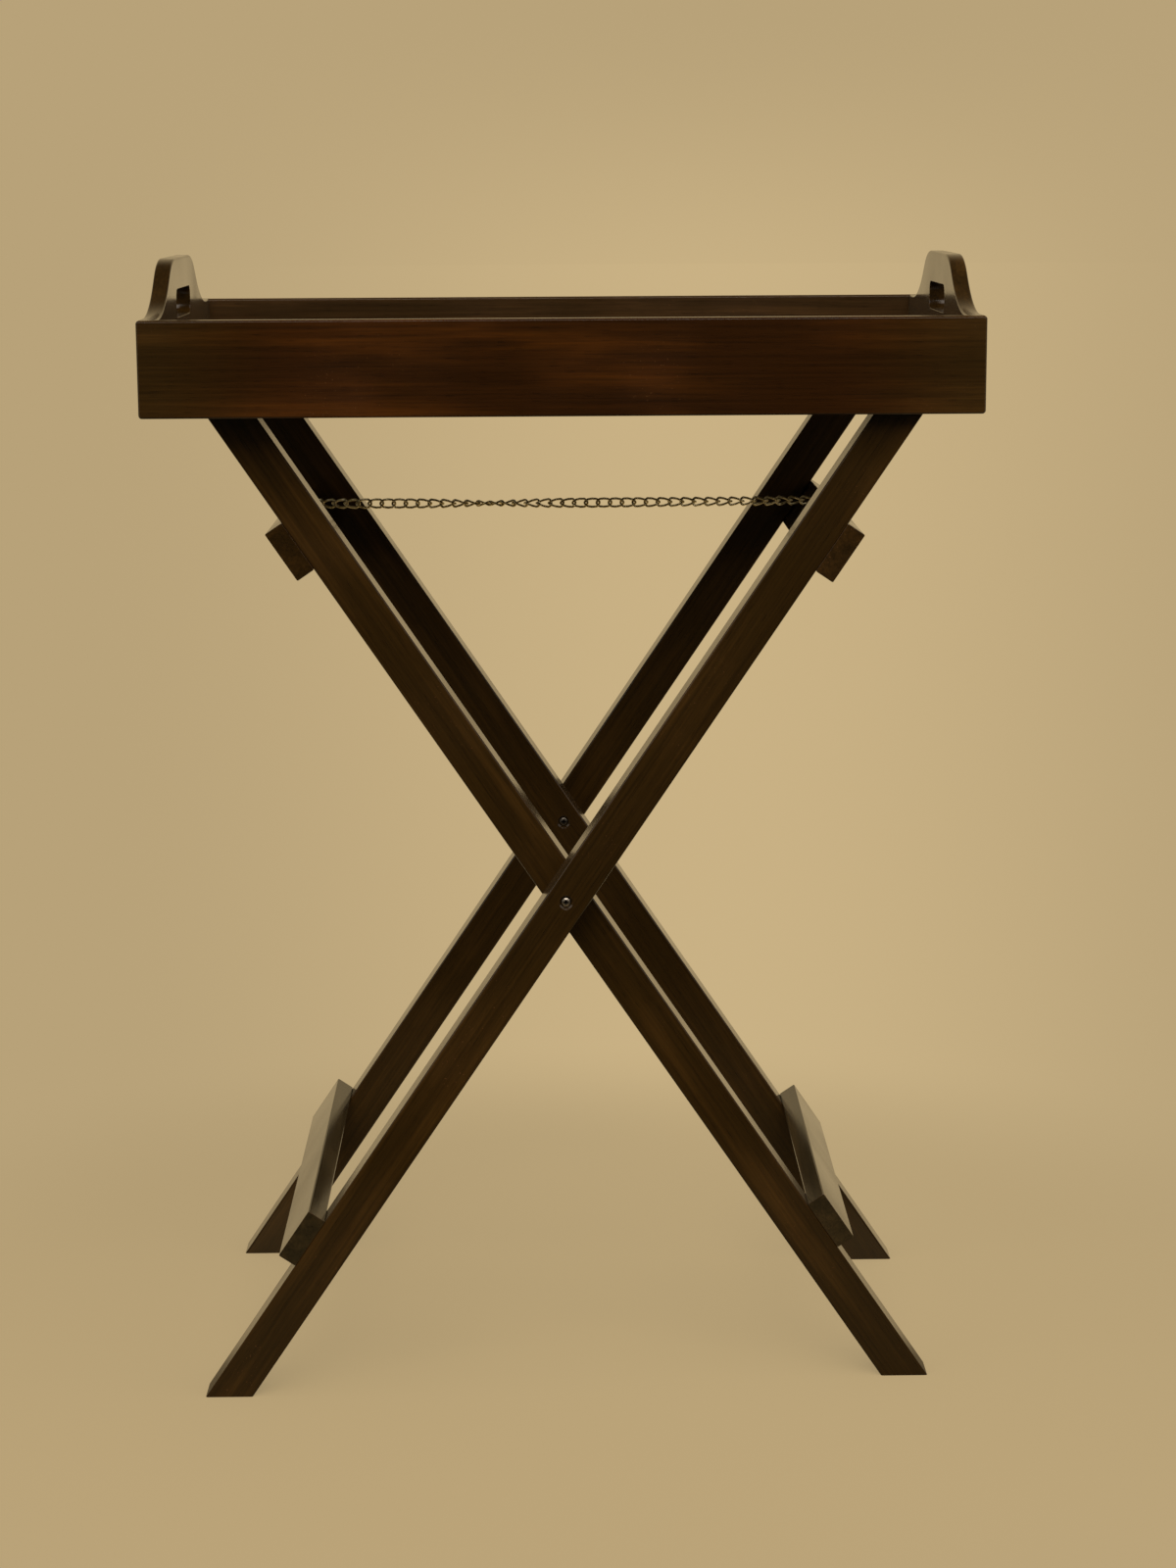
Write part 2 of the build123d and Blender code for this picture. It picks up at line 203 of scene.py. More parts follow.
def add_node(tree, kind, inputs=(), **settings):
    """Add a node, set its options, and give each named input a value or a link."""
    node = tree.nodes.new(kind)
    for option, value in settings.items():
        setattr(node, option, value)
    for name, value in dict(inputs).items():
        if isinstance(value, bpy.types.NodeSocket):
            tree.links.new(value, node.inputs[name])
        else:
            node.inputs[name].default_value = value
    return node


def new_material(name):
    """A new material, its emptied node tree and its output node."""
    material = bpy.data.materials.new(name)
    material.use_nodes = True
    tree = material.node_tree
    tree.nodes.clear()
    return material, tree, add_node(tree, "ShaderNodeOutputMaterial")


def dress(node_names, material):
    """Give CAD nodes a material in place of the one they were packed with."""
    for name in node_names:
        mesh = frame["nodes"][name].data
        mesh.materials.clear()
        mesh.materials.append(material)


def start_piece(name):
    """Name the piece that was just made, and its mesh with it."""
    piece = bpy.context.active_object
    piece.name = name
    piece.data.name = name
    return piece


def deselect_all():
    """Go back to object mode, with nothing selected."""
    if bpy.context.mode != "OBJECT":
        bpy.ops.object.mode_set(mode="OBJECT")
    bpy.ops.object.select_all(action="DESELECT")


def select_only(*pieces):
    """Select these pieces alone, the last one active."""
    deselect_all()
    for piece in pieces:
        piece.select_set(True)
    bpy.context.view_layer.objects.active = pieces[-1]


def pick_vertices(piece, wanted):
    """Go into edit mode with only the vertices selected whose place is wanted."""
    select_only(piece)
    bpy.ops.object.mode_set(mode="EDIT")
    bpy.ops.mesh.select_mode(type="VERT")
    bpy.ops.mesh.select_all(action="DESELECT")
    bpy.ops.object.mode_set(mode="OBJECT")
    for vertex in piece.data.vertices:
        vertex.select = wanted(vertex.co)
    bpy.ops.object.mode_set(mode="EDIT")


def apply_modifiers(piece):
    """Make the modifiers of a piece part of its mesh."""
    select_only(piece)
    for modifier in list(piece.modifiers):
        bpy.ops.object.modifier_apply(modifier=modifier.name)


def combine(piece, other, operation):
    """Join another piece to this one, or cut its shape out, and remove it."""
    boolean = piece.modifiers.new("Combine", "BOOLEAN")
    boolean.operation = operation
    boolean.solver = "EXACT"
    boolean.object = other
    apply_modifiers(piece)
    bpy.data.objects.remove(other)


def copy_piece(model, name, place):
    """Copy a model, mesh and all, to the place that a matrix gives."""
    select_only(model)
    bpy.ops.object.duplicate(linked=False)
    piece = start_piece(name)
    piece.matrix_world = place
    bpy.ops.object.transform_apply(location=True, rotation=True, scale=True)
    return piece


class WoodFinish(bpy.types.PropertyGroup):
    """Stain, grain and lacquer of the boards."""

    red_dark: FloatVectorProperty(
        name="Red stain, dark",
        description="Colour of the front rail where the stain took most",
        subtype="COLOR",
        min=0.0,
        max=1.0,
        default=linear("#2A1504"),
    )
    red_warm: FloatVectorProperty(
        name="Red stain, thin",
        description="Colour of the front rail where the stain is thin",
        subtype="COLOR",
        min=0.0,
        max=1.0,
        default=linear("#4A2706"),
    )
    brown_dark: FloatVectorProperty(
        name="Brown stain, dark",
        description="Colour of the other boards where the stain took most",
        subtype="COLOR",
        min=0.0,
        max=1.0,
        default=linear("#2B1C07"),
    )
    brown_warm: FloatVectorProperty(
        name="Brown stain, thin",
        description="Colour of the other boards where the stain is thin",
        subtype="COLOR",
        min=0.0,
        max=1.0,
        default=linear("#412B0E"),
    )
    # The dull stain is a lighter, greyer copy of the brown stain: painted light and haze inside the
    # tray.
    dull_painted_haze_dark: FloatVectorProperty(
        name="Dull stain, dark",
        description="Colour of the rear rail and the base where the stain took most",
        subtype="COLOR",
        min=0.0,
        max=1.0,
        default=linear("#302110"),
    )
    dull_painted_haze_warm: FloatVectorProperty(
        name="Dull stain, thin",
        description="Colour of the rear rail and the base where the stain is thin",
        subtype="COLOR",
        min=0.0,
        max=1.0,
        default=linear("#463019"),
    )
    # The grey stain is a greyer copy of the brown stain: a painted sheen on the lower stretchers.
    grey_painted_sheen_dark: FloatVectorProperty(
        name="Grey stain, dark",
        description="Colour of the lower stretchers where the stain took most",
        subtype="COLOR",
        min=0.0,
        max=1.0,
        default=linear("#2B2211"),
    )
    grey_painted_sheen_warm: FloatVectorProperty(
        name="Grey stain, thin",
        description="Colour of the lower stretchers where the stain is thin",
        subtype="COLOR",
        min=0.0,
        max=1.0,
        default=linear("#41321A"),
    )
    # Pale colour of the arrises: partly stain rubbed off by handling, partly a painted highlight.
    worn: FloatVectorProperty(
        name="Worn edge",
        description="Colour where handling has rubbed the stain off the arrises",
        subtype="COLOR",
        min=0.0,
        max=1.0,
        default=linear("#5A3B1F"),
    )
    streak_width: FloatProperty(
        name="Streak width",
        description="Width of the broad streaks in the stain",
        subtype="DISTANCE",
        unit="LENGTH",
        default=0.016,
    )
    grain_width: FloatProperty(
        name="Grain width",
        description="Spacing of the grain lines that show",
        subtype="DISTANCE",
        unit="LENGTH",
        default=0.0022,
    )
    lacquer_roughness: FloatProperty(
        name="Lacquer roughness",
        description="How dull the satin lacquer is",
        subtype="FACTOR",
        min=0.0,
        max=1.0,
        default=0.16,
    )
    dust: FloatVectorProperty(
        name="Dust",
        description="Colour of the thin film of dust that shows at a low angle",
        subtype="COLOR",
        min=0.0,
        max=1.0,
        default=linear("#E0D5B8"),
    )
    arris: FloatProperty(
        name="Soft arris",
        description="Radius over which the corners of the boards catch the light",
        subtype="DISTANCE",
        unit="LENGTH",
        default=0.0006,
    )


class ChainFinish(bpy.types.PropertyGroup):
    """Size and metal of the chain and its eyes."""

    brass: FloatVectorProperty(
        name="Brass",
        description="Colour of the rubbed brass",
        subtype="COLOR",
        min=0.0,
        max=1.0,
        default=linear("#F2E4BC"),
    )
    tarnish: FloatVectorProperty(
        name="Tarnish",
        description="Colour of the brass where it has gone dark",
        subtype="COLOR",
        min=0.0,
        max=1.0,
        default=linear("#988A5E"),
    )
    links_per_half: IntProperty(
        name="Links per half",
        description="Links from the middle of the chain to each screw eye",
        default=21,
        min=1,
    )
    link_width: FloatProperty(
        name="Link width",
        description="Width over the outside of a link",
        subtype="DISTANCE",
        unit="LENGTH",
        default=0.0083,
    )
    wire: FloatProperty(
        name="Link wire",
        description="Diameter of the wire of the links",
        subtype="DISTANCE",
        unit="LENGTH",
        default=0.0018,
    )
    play: FloatProperty(
        name="Play",
        description="Slack between neighbouring links",
        subtype="DISTANCE",
        unit="LENGTH",
        default=0.0005,
    )
    end_tilt: FloatProperty(
        name="End tilt",
        description="How far each end of a link is twisted from its middle",
        subtype="ANGLE",
        default=radians(45),
    )
    sag: FloatProperty(
        name="Sag",
        description="Drop of the chain's middle below its ends",
        subtype="DISTANCE",
        unit="LENGTH",
        default=0.001,
    )
    lay: FloatProperty(
        name="Lay",
        description="How far the whole chain turns over on its way across",
        subtype="ANGLE",
        default=radians(270),
    )
    eye_radius: FloatProperty(
        name="Eye radius",
        description="Radius of a screw eye's ring, at the middle of its wire",
        subtype="DISTANCE",
        unit="LENGTH",
        default=0.0038,
    )
    eye_wire: FloatProperty(
        name="Eye wire",
        description="Diameter of the wire of the screw eyes",
        subtype="DISTANCE",
        unit="LENGTH",
        default=0.002,
    )
    eye_shank: FloatProperty(
        name="Eye shank",
        description="Length of a screw eye from the middle of its ring to its tip",
        subtype="DISTANCE",
        unit="LENGTH",
        default=0.017,
    )


class ScrewFinish(bpy.types.PropertyGroup):
    """Size and metal of the pivot screws."""

    oxide: FloatVectorProperty(
        name="Oxide",
        description="Colour of the blackened steel",
        subtype="COLOR",
        min=0.0,
        max=1.0,
        default=linear("#1C1610"),
    )
    bare: FloatVectorProperty(
        name="Bare steel",
        description="Colour of the steel where the driver rubbed it",
        subtype="COLOR",
        min=0.0,
        max=1.0,
        default=linear("#D8CFC2"),
    )
    front_wear: FloatProperty(
        name="Front wear",
        description="How far the driver has rubbed the crown of the front screw bare",
        subtype="FACTOR",
        min=0.0,
        max=1.0,
        default=1.0,
    )
    rear_wear: FloatProperty(
        name="Rear wear",
        description="How far the driver has rubbed the crown of the rear screw bare",
        subtype="FACTOR",
        min=0.0,
        max=1.0,
        default=0.25,
    )
    head_radius: FloatProperty(
        name="Head radius",
        description="Radius of the countersunk head",
        subtype="DISTANCE",
        unit="LENGTH",
        default=0.0038,
    )
    crown: FloatProperty(
        name="Head crown",
        description="How far the middle of the head stands above its rim",
        subtype="DISTANCE",
        unit="LENGTH",
        default=0.0009,
    )
    shank_radius: FloatProperty(
        name="Shank radius",
        description="Radius of the plain shank",
        subtype="DISTANCE",
        unit="LENGTH",
        default=0.0021,
    )
    length: FloatProperty(
        name="Screw length",
        description="Length from the head to the tip",
        subtype="DISTANCE",
        unit="LENGTH",
        default=0.0494,
    )
    recess_length: FloatProperty(
        name="Recess length",
        description="Length of each arm of the cross recess, end to end",
        subtype="DISTANCE",
        unit="LENGTH",
        default=0.0046,
    )
    recess_width: FloatProperty(
        name="Recess width",
        description="Width of the arms of the cross recess",
        subtype="DISTANCE",
        unit="LENGTH",
        default=0.0013,
    )
    recess_depth: FloatProperty(
        name="Recess depth",
        description="Depth of the cross recess",
        subtype="DISTANCE",
        unit="LENGTH",
        default=0.0014,
    )


class StageSet(bpy.types.PropertyGroup):
    """Floor, lamps and camera."""

    paper: FloatVectorProperty(
        name="Backdrop paper",
        description="Colour of the floor and of the background",
        subtype="COLOR",
        min=0.0,
        max=1.0,
        default=linear("#B8A279"),
    )
    front_lamp: FloatProperty(
        name="Front lamp",
        description="Power of the soft box high in front of the table",
        unit="POWER",
        default=70.0,
        min=0.0,
    )
    side_lamp: FloatProperty(
        name="Side lamps",
        description="Power of each of the two soft boxes at the sides",
        unit="POWER",
        default=20.0,
        min=0.0,
    )
    lamp_colour: FloatVectorProperty(
        name="Lamp colour",
        description="Colour of the soft boxes",
        subtype="COLOR",
        min=0.0,
        max=1.0,
        default=(1.0, 0.93, 0.82),
    )
    room_light: FloatProperty(
        name="Room light",
        description="Strength of the light from the rest of the room",
        default=0.45,
        min=0.0,
    )
    wash_place: FloatVectorProperty(
        name="Wash place",
        description="Where the wash of light on the paper fans out from",
        subtype="TRANSLATION",
        default=(0.0, -2.5, 0.9),
    )
    camera_place: FloatVectorProperty(
        name="Camera place",
        description="Where the camera stands",
        subtype="TRANSLATION",
        default=(-0.0118, -2.5215, 0.9263),
    )
    camera_turn: FloatVectorProperty(
        name="Camera turn",
        description="Camera's tilt down, turn to the right and roll",
        subtype="EULER",
        default=(radians(10.841), radians(0.704), radians(0.321)),
    )
    camera_lens: FloatProperty(
        name="Camera lens",
        description="Focal length on a sensor whose long side is 36 mm",
        subtype="DISTANCE_CAMERA",
        default=73.64,
    )


def drawn_out(tree, along, length, width, settings):
    """Socket for a noise drawn out along the grain, in marks of about this length and width."""
    stretched = add_node(
        tree,
        "ShaderNodeMapping",
        {"Vector": along, "Scale": (1 / length, 1 / width, 1 / width)},
    ).outputs["Vector"]
    return add_node(
        tree,
        "ShaderNodeTexNoise",
        {"Vector": stretched, "Scale": 1.0, **settings},
    ).outputs["Fac"]


def faded_ends(tree, place, dark, thin, finish):
    """Sockets for a stain's two colours that fade to the brown of the other boards towards the tray's
    ends."""
    aside = add_node(tree, "ShaderNodeSeparateXYZ", {"Vector": place}).outputs["X"]
    aside = add_node(tree, "ShaderNodeMath", {0: aside}, operation="ABSOLUTE").outputs[0]
    faded = add_node(
        tree,
        "ShaderNodeMapRange",
        {"Value": aside, "From Min": FADE_START, "From Max": FADE_END},
        interpolation_type="SMOOTHSTEP",
    ).outputs["Result"]
    return [
        add_node(
            tree,
            "ShaderNodeMix",
            {0: faded, 6: fresh, 7: (*old, 1.0)},
            data_type="RGBA",
        ).outputs[2]
        for fresh, old in ((dark, finish.brown_dark), (thin, finish.brown_warm))
    ]


def stain_colour(tree, place, along, cloud, stain, finish):
    """Socket for the colour of the stain: long streaks from dark to thin, shifted by the clouds."""
    dark, thin, fades = stain
    dark, thin = (*dark, 1.0), (*thin, 1.0)
    if fades:
        dark, thin = faded_ends(tree, place, dark, thin, finish)
    streak = drawn_out(
        tree,
        along,
        STREAK_STRETCH * finish.streak_width,
        finish.streak_width,
        {"Detail": 3.0, "Roughness": 0.6, "Distortion": 0.4},
    )
    tone = add_node(
        tree,
        "ShaderNodeMath",
        {0: cloud, 1: CLOUD_WEIGHT, 2: streak},
        operation="MULTIPLY_ADD",
    ).outputs[0]
    warm = add_node(
        tree,
        "ShaderNodeMapRange",
        {"Value": tone, "From Min": 0.62, "From Max": 1.08},
        interpolation_type="SMOOTHSTEP",
    ).outputs["Result"]
    return add_node(
        tree,
        "ShaderNodeMix",
        {0: warm, 6: dark, 7: thin},
        data_type="RGBA",
    ).outputs[2]


def grain_shade(tree, normal, turn, line, pores):
    """Socket for how much the grain darkens the stain: in its lines, its pores and its cut ends."""
    shade = add_node(
        tree,
        "ShaderNodeMapRange",
        {"Value": line, "From Min": 0.3, "From Max": 0.7, "To Min": 0.75, "To Max": 1.18},
    ).outputs["Result"]
    shade = add_node(
        tree,
        "ShaderNodeMath",
        {0: pores, 1: -PORE_SHADE, 2: shade},
        operation="MULTIPLY_ADD",
    ).outputs[0]
    # Faces across the grain drink more of the stain.
    grain = Euler(turn).to_matrix() @ Vector((1, 0, 0))
    facing = add_node(
        tree,
        "ShaderNodeVectorMath",
        {0: normal, 1: grain},
        operation="DOT_PRODUCT",
    ).outputs["Value"]
    facing = add_node(tree, "ShaderNodeMath", {0: facing}, operation="ABSOLUTE").outputs[0]
    soaked = add_node(
        tree,
        "ShaderNodeMapRange",
        {"Value": facing, "From Min": 0.2, "From Max": 0.6, "To Min": 1.0, "To Max": END_GRAIN_SHADE},
    ).outputs["Result"]
    return add_node(tree, "ShaderNodeMath", {0: shade, 1: soaked}, operation="MULTIPLY").outputs[0]


def pale_share(tree, place, soft, line, cloud):
    """Socket for how far the stain is painted paler: at the arrises, partly rubbed off by handling and
    partly a painted highlight, and under specks of dust that the lacquer caught here and there, under
    1 mm across."""
    face = add_node(tree, "ShaderNodeNewGeometry").outputs["Normal"]
    facing = add_node(
        tree,
        "ShaderNodeVectorMath",
        {0: soft, 1: face},
        operation="DOT_PRODUCT",
    ).outputs["Value"]
    # Painted highlight and rubbed wear along the arrises, where the rounded normal leaves the face's
    # own.
    rub_and_highlight = add_node(
        tree,
        "ShaderNodeMapRange",
        {"Value": facing, "From Min": 0.985, "From Max": 0.88},
    ).outputs["Result"]
    rub_and_highlight = add_node(tree, "ShaderNodeMath", {0: rub_and_highlight, 1: line}, operation="MULTIPLY").outputs[0]
    dust = add_node(
        tree,
        "ShaderNodeTexNoise",
        {"Vector": place, "Scale": 1 / DUST_SPACING, "Detail": 0.0},
    ).outputs["Fac"]
    speck = add_node(
        tree,
        "ShaderNodeMapRange",
        {"Value": dust, "From Min": 0.8, "From Max": 0.85, "To Max": 0.8},
    ).outputs["Result"]
    dusty = add_node(
        tree,
        "ShaderNodeMapRange",
        {"Value": cloud, "From Min": 0.5, "From Max": 0.6},
    ).outputs["Result"]
    speck = add_node(tree, "ShaderNodeMath", {0: speck, 1: dusty}, operation="MULTIPLY").outputs[0]
    return add_node(tree, "ShaderNodeMath", {0: rub_and_highlight, 1: speck}, operation="MAXIMUM").outputs[0]


def satin_lacquer(tree, colour, soft, cloud, line, pores, finish):
    """Socket for the lacquer over a colour: handling has dulled it in clouds, the pores keep a
    trace of relief under it, and a thin film of dust shows on it at a low angle."""
    dull = add_node(
        tree,
        "ShaderNodeMapRange",
        {
            "Value": cloud,
            "From Min": 0.3,
            "From Max": 0.7,
            "To Min": finish.lacquer_roughness - POLISHED,
            "To Max": finish.lacquer_roughness + DULLED,
        },
    ).outputs["Result"]
    relief = add_node(
        tree,
        "ShaderNodeMath",
        {0: pores, 1: -PORE_RELIEF, 2: line},
        operation="MULTIPLY_ADD",
    ).outputs[0]
    bump = add_node(
        tree,
        "ShaderNodeBump",
        {"Height": relief, "Strength": 0.25, "Distance": RELIEF_HEIGHT, "Normal": soft},
    ).outputs["Normal"]
    return add_node(
        tree,
        "ShaderNodeBsdfPrincipled",
        {
            "Base Color": colour,
            "Roughness": dull,
            "Normal": bump,
            "IOR": 1.5,
            "Specular IOR Level": 0.35,
            "Sheen Weight": 0.025,
            "Sheen Roughness": 0.4,
            "Sheen Tint": (*finish.dust, 1.0),
        },
    ).outputs["BSDF"]


def stained_hardwood(name, stain, turn, finish):
    """Dense hardwood, sanded, wiped with a dark spirit stain and sprayed with satin lacquer.

    The stain leaves long streaks from near black to brown, end grain drinks more of it, the grain
    shows as fine lines, arrises are painted paler, partly as rubbed wear and partly as a painted
    highlight, and the lacquer mirrors what lies behind at a low angle.
    """
    material, tree, output = new_material(name)
    body = add_node(tree, "ShaderNodeTexCoord").outputs
    along = add_node(
        tree,
        "ShaderNodeMapping",
        {"Vector": body["Object"], "Rotation": turn},
        vector_type="TEXTURE",
    ).outputs["Vector"]
    # Clouds the size of a hand, where the rag left more or less stain.
    cloud = add_node(
        tree,
        "ShaderNodeTexNoise",
        {"Vector": along, "Scale": 1 / STAIN_CLOUD, "Detail": 2.0, "Roughness": 0.5},
    ).outputs["Fac"]
    # Real grain lines are under 1 mm apart; these are wider so that they show in the render.
    line = drawn_out(
        tree,
        along,
        GRAIN_STRETCH * finish.grain_width,
        finish.grain_width,
        {"Detail": 2.0, "Roughness": 0.6},
    )
    # Open pores: fine dashes along the grain, drawn wider than real ones so that they show.
    dashes = drawn_out(tree, along, PORE_LENGTH, PORE_WIDTH, {"Detail": 0.0})
    pores = add_node(
        tree,
        "ShaderNodeMapRange",
        {"Value": dashes, "From Min": 0.62, "From Max": 0.72},
    ).outputs["Result"]
    # Normals rounded at the arrises, which catch the light; there the stain is also painted paler,
    # partly as rubbed wear and partly as a painted highlight.
    soft = add_node(tree, "ShaderNodeBevel", {"Radius": finish.arris}, samples=12).outputs["Normal"]

    grained = add_node(
        tree,
        "ShaderNodeMix",
        {
            0: 1.0,
            6: stain_colour(tree, body["Object"], along, cloud, stain, finish),
            7: grain_shade(tree, body["Normal"], turn, line, pores),
        },
        data_type="RGBA",
        blend_type="MULTIPLY",
    ).outputs[2]
    pale = pale_share(tree, body["Object"], soft, line, cloud)
    # The arrises are painted paler here, partly as rubbed wear and partly as a painted highlight.
    colour = add_node(
        tree,
        "ShaderNodeMix",
        {0: pale, 6: grained, 7: (*finish.worn, 1.0)},
        data_type="RGBA",
    ).outputs[2]

    lacquer = satin_lacquer(tree, colour, soft, cloud, line, pores, finish)
    tree.links.new(lacquer, output.inputs["Surface"])
    return material


def aged_brass(finish):
    """Drawn brass wire, left to tarnish: dull olive, with patches rubbed to a pale yellow."""
    material, tree, output = new_material("aged_brass")
    place = add_node(tree, "ShaderNodeTexCoord").outputs["Object"]
    patch = add_node(
        tree,
        "ShaderNodeTexNoise",
        {"Vector": place, "Scale": 1 / TARNISH_PATCH, "Detail": 3.0},
    ).outputs["Fac"]
    share = add_node(
        tree,
        "ShaderNodeMapRange",
        {"Value": patch, "From Min": 0.35, "From Max": 0.68},
    ).outputs["Result"]
    colour = add_node(
        tree,
        "ShaderNodeMix",
        {0: share, 6: (*finish.tarnish, 1.0), 7: (*finish.brass, 1.0)},
        data_type="RGBA",
    ).outputs[2]
    rough = add_node(
        tree,
        "ShaderNodeMapRange",
        {"Value": share, "To Min": 0.38, "To Max": 0.25},
    ).outputs["Result"]
    metal = add_node(
        tree,
        "ShaderNodeBsdfPrincipled",
        {"Base Color": colour, "Roughness": rough, "Metallic": 1.0},
    )
    tree.links.new(metal.outputs["BSDF"], output.inputs["Surface"])
    return material


def bare_share(tree, place, wear, finish):
    """Socket for how much bare steel shows on a screw's crown, outside the grime and painted shade
    of its recess.
    """
    centred = add_node(
        tree,
        "ShaderNodeMapping",
        {"Vector": place, "Location": (-PIVOT.x, 0.0, -PIVOT.z), "Scale": (1.0, 0.0, 1.0)},
    ).outputs["Vector"]
    out = add_node(tree, "ShaderNodeVectorMath", {0: centred}, operation="LENGTH").outputs["Value"]
    # Dark in and round the recess: partly grime, partly painted shade.
    clean_of_grime_and_shade = add_node(
        tree,
        "ShaderNodeMapRange",
        {
            "Value": out,
            "From Min": finish.head_radius * GRIME_AND_SHADE_ENDS[0],
            "From Max": finish.head_radius * GRIME_AND_SHADE_ENDS[1],
        },
    ).outputs["Result"]
    # The driver's scratches leave a ragged edge where the oxide begins. They are drawn coarser than
    # real ones so that they show.
    scratch = add_node(
        tree,
        "ShaderNodeTexNoise",
        {"Vector": place, "Scale": 1 / DRIVER_SCRATCH, "Detail": 2.0},
    ).outputs["Fac"]
    reach = add_node(
        tree,
        "ShaderNodeMath",
        {0: scratch, 1: finish.head_radius * SCRATCH_PUSH, 2: out},
        operation="MULTIPLY_ADD",
    ).outputs[0]
    worn = add_node(
        tree,
        "ShaderNodeMapRange",
        {
            "Value": reach,
            "From Min": finish.head_radius * OXIDE_ENDS[0],
            "From Max": finish.head_radius * OXIDE_ENDS[1],
        },
    ).outputs["Result"]
    # Patches where the oxide has held.
    patch = add_node(
        tree,
        "ShaderNodeTexNoise",
        {"Vector": place, "Scale": 1 / OXIDE_PATCH, "Detail": 1.0},
    ).outputs["Fac"]
    held = add_node(
        tree,
        "ShaderNodeMapRange",
        {"Value": patch, "From Min": 0.42, "From Max": 0.58, "To Min": wear / 2, "To Max": wear},
    ).outputs["Result"]
    bare = add_node(tree, "ShaderNodeMath", {0: clean_of_grime_and_shade, 1: worn}, operation="MULTIPLY").outputs[0]
    return add_node(tree, "ShaderNodeMath", {0: bare, 1: held}, operation="MULTIPLY").outputs[0]


def screw_steel(name, wear, finish):
    """Steel screw with a black oxide finish: near black, worn to bare metal on the crown by the
    driver, with grime and painted shade in and round the recess."""
    material, tree, output = new_material(name)
    place = add_node(tree, "ShaderNodeTexCoord").outputs["Object"]
    bare = bare_share(tree, place, wear, finish)
    colour = add_node(
        tree,
        "ShaderNodeMix",
        {0: bare, 6: (*finish.oxide, 1.0), 7: (*finish.bare, 1.0)},
        data_type="RGBA",
    ).outputs[2]
    rough = add_node(
        tree,
        "ShaderNodeMapRange",
        {"Value": bare, "To Min": 0.45, "To Max": 0.3},
    ).outputs["Result"]
    metal = add_node(
        tree,
        "ShaderNodeBsdfPrincipled",
        {"Base Color": colour, "Roughness": rough, "Metallic": 1.0},
    )
    tree.links.new(metal.outputs["BSDF"], output.inputs["Surface"])
    return material


class TRAYTABLE_OT_boards(bpy.types.Operator):
    """Stain and lacquer every board, with the grain along it"""

    bl_idname = "traytable.boards"
    bl_label = "Finish boards"

    def execute(self, context):
        finish = context.scene.tray_table_wood
        # Each stain's dark and thin colour, and whether it fades towards the tray's ends.
        stains = {
            "red": (finish.red_dark, finish.red_warm, True),
            "brown": (finish.brown_dark, finish.brown_warm, False),
            # The dull stain has painted light and haze in it.
            "dull": (finish.dull_painted_haze_dark, finish.dull_painted_haze_warm, False),
            # The grey stain has a painted sheen in it.
            "grey_painted_sheen": (finish.grey_painted_sheen_dark, finish.grey_painted_sheen_warm, False),
        }
        for way, (stain, turn, names) in BOARDS.items():
            dress(names, stained_hardwood(f"stained_hardwood_{way}", stains[stain], turn, finish))
        return {"FINISHED"}


def link_place(x, finish):
    """Matrix for the link at x: the chain sags a little and turns over along its length, slowly
    near the eyes and fastest left of its middle."""
    share = x / EYE_RIGHT.x
    slope = atan2(2 * finish.sag * share, EYE_RIGHT.x)
    along = ((1 + share) / 2) ** LAY_SKEW
    turned = finish.end_tilt + finish.lay * along**3 * (10 - 15 * along + 6 * along**2)
    height = EYE_RIGHT.z - finish.sag * (1 - share**2)
    return (
        Matrix.Translation((x, EYE_RIGHT.y, height))
        @ Matrix.Rotation(-slope, 4, "Y")
        @ Matrix.Rotation(turned, 4, "X")
    )


def model_link(half_length, finish):
    """One curb link: a ring of wire pulled to a long loop, then twisted about its length."""
    half_width = (finish.link_width - finish.wire) / 2
    deselect_all()
    bpy.ops.mesh.primitive_torus_add(
        major_radius=half_width,
        minor_radius=finish.wire / 2,
        major_segments=LINK_SEGMENTS,
        minor_segments=LINK_WIRE_SIDES,
    )
    link = start_piece("chain_link")
    for side in (-1, 1):
        pick_vertices(link, lambda place: side * place.x > finish.wire / 10)
        bpy.ops.transform.translate(value=(side * (half_length - half_width), 0, 0))
    bpy.ops.object.mode_set(mode="OBJECT")
    twist = link.modifiers.new("Twist", "SIMPLE_DEFORM")
    twist.deform_method = "TWIST"
    twist.deform_axis = "X"
    twist.angle = 2 * finish.end_tilt * (1 + finish.wire / 2 / half_length)
    apply_modifiers(link)
    bpy.ops.object.shade_smooth()
    return link


class TRAYTABLE_OT_chain(bpy.types.Operator):
    """Link the two halves of the brass chain"""

    bl_idname = "traytable.chain"
    bl_label = "Link chain"

    def execute(self, context):
        finish = context.scene.tray_table_chain
        brass = aged_brass(finish)
        reach = EYE_RIGHT.x - finish.eye_radius + finish.eye_wire / 2 + finish.play / 2
        pitch = reach / finish.links_per_half
        link = model_link((pitch + finish.wire + finish.play) / 2, finish)
        link.data.materials.append(brass)
        for side, half in ((-1, "left"), (1, "right")):
            row = []
            for count in range(finish.links_per_half):
                place = link_place(side * pitch * (count + 0.5), finish)
                row.append(copy_piece(link, f"chain_link_{half}_{count}", place))
            select_only(*row)
            bpy.ops.object.join()
            chain = start_piece(f"chain_links_{half}")
            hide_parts(f"chain_{half}_half")
            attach(chain, f"chain_{half}")
        bpy.data.objects.remove(link)
        return {"FINISHED"}


